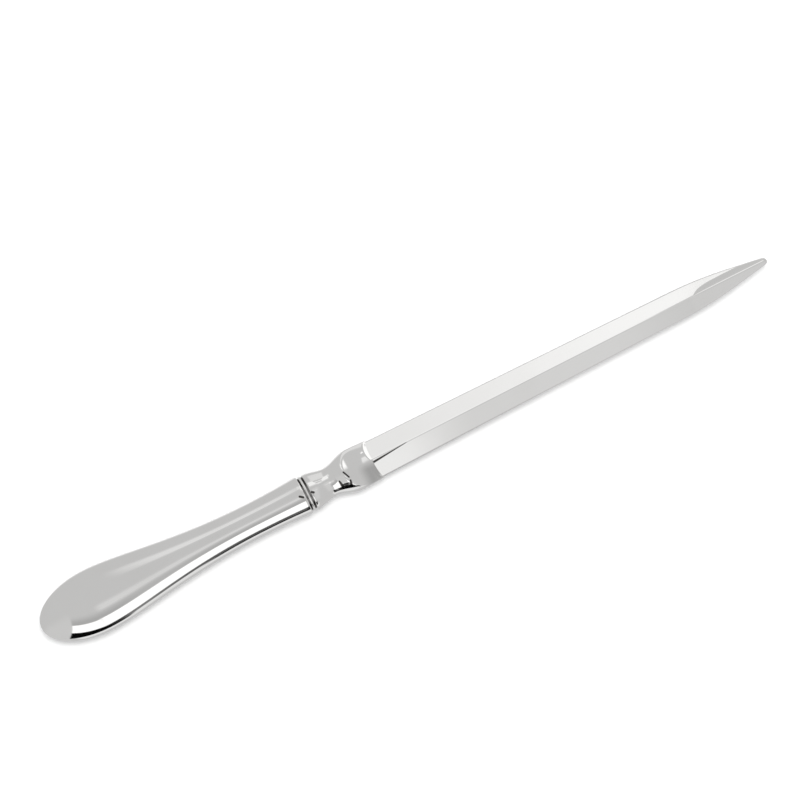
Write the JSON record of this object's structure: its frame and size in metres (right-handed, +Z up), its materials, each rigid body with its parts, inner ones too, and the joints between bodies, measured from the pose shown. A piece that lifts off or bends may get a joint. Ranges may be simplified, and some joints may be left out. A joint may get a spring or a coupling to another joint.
{
  "type": "letter opener",
  "caption": "Polished metal letter opener with a pear-shaped hollow handle, a bead ring, a waisted neck with scooped shoulder facets and a straight double-bevel blade for slitting envelopes.",
  "frame": {"origin": "on the desk, under the middle of the opener as it lies flat", "axes": "+X along the opener towards the point, +Y across the blade, +Z up from the desk"},
  "size_m": [0.2287, 0.0186, 0.012],
  "materials": {
    "polished_blade": "bright polished plate with faint lengthwise polishing lines",
    "polished_neck": "bright polished plate",
    "polished_handle": "bright polished plate with faint handling marks",
    "handle_cement": "matt cast cement"
  },
  "bodies": {
    "root": {"blade": "polished_blade", "bolster": "polished_neck", "collar_ring": "polished_neck", "upper_handle_shell": "polished_handle", "lower_handle_shell": "polished_handle", "handle_filler": "handle_cement"}
  },
  "joints": []
}
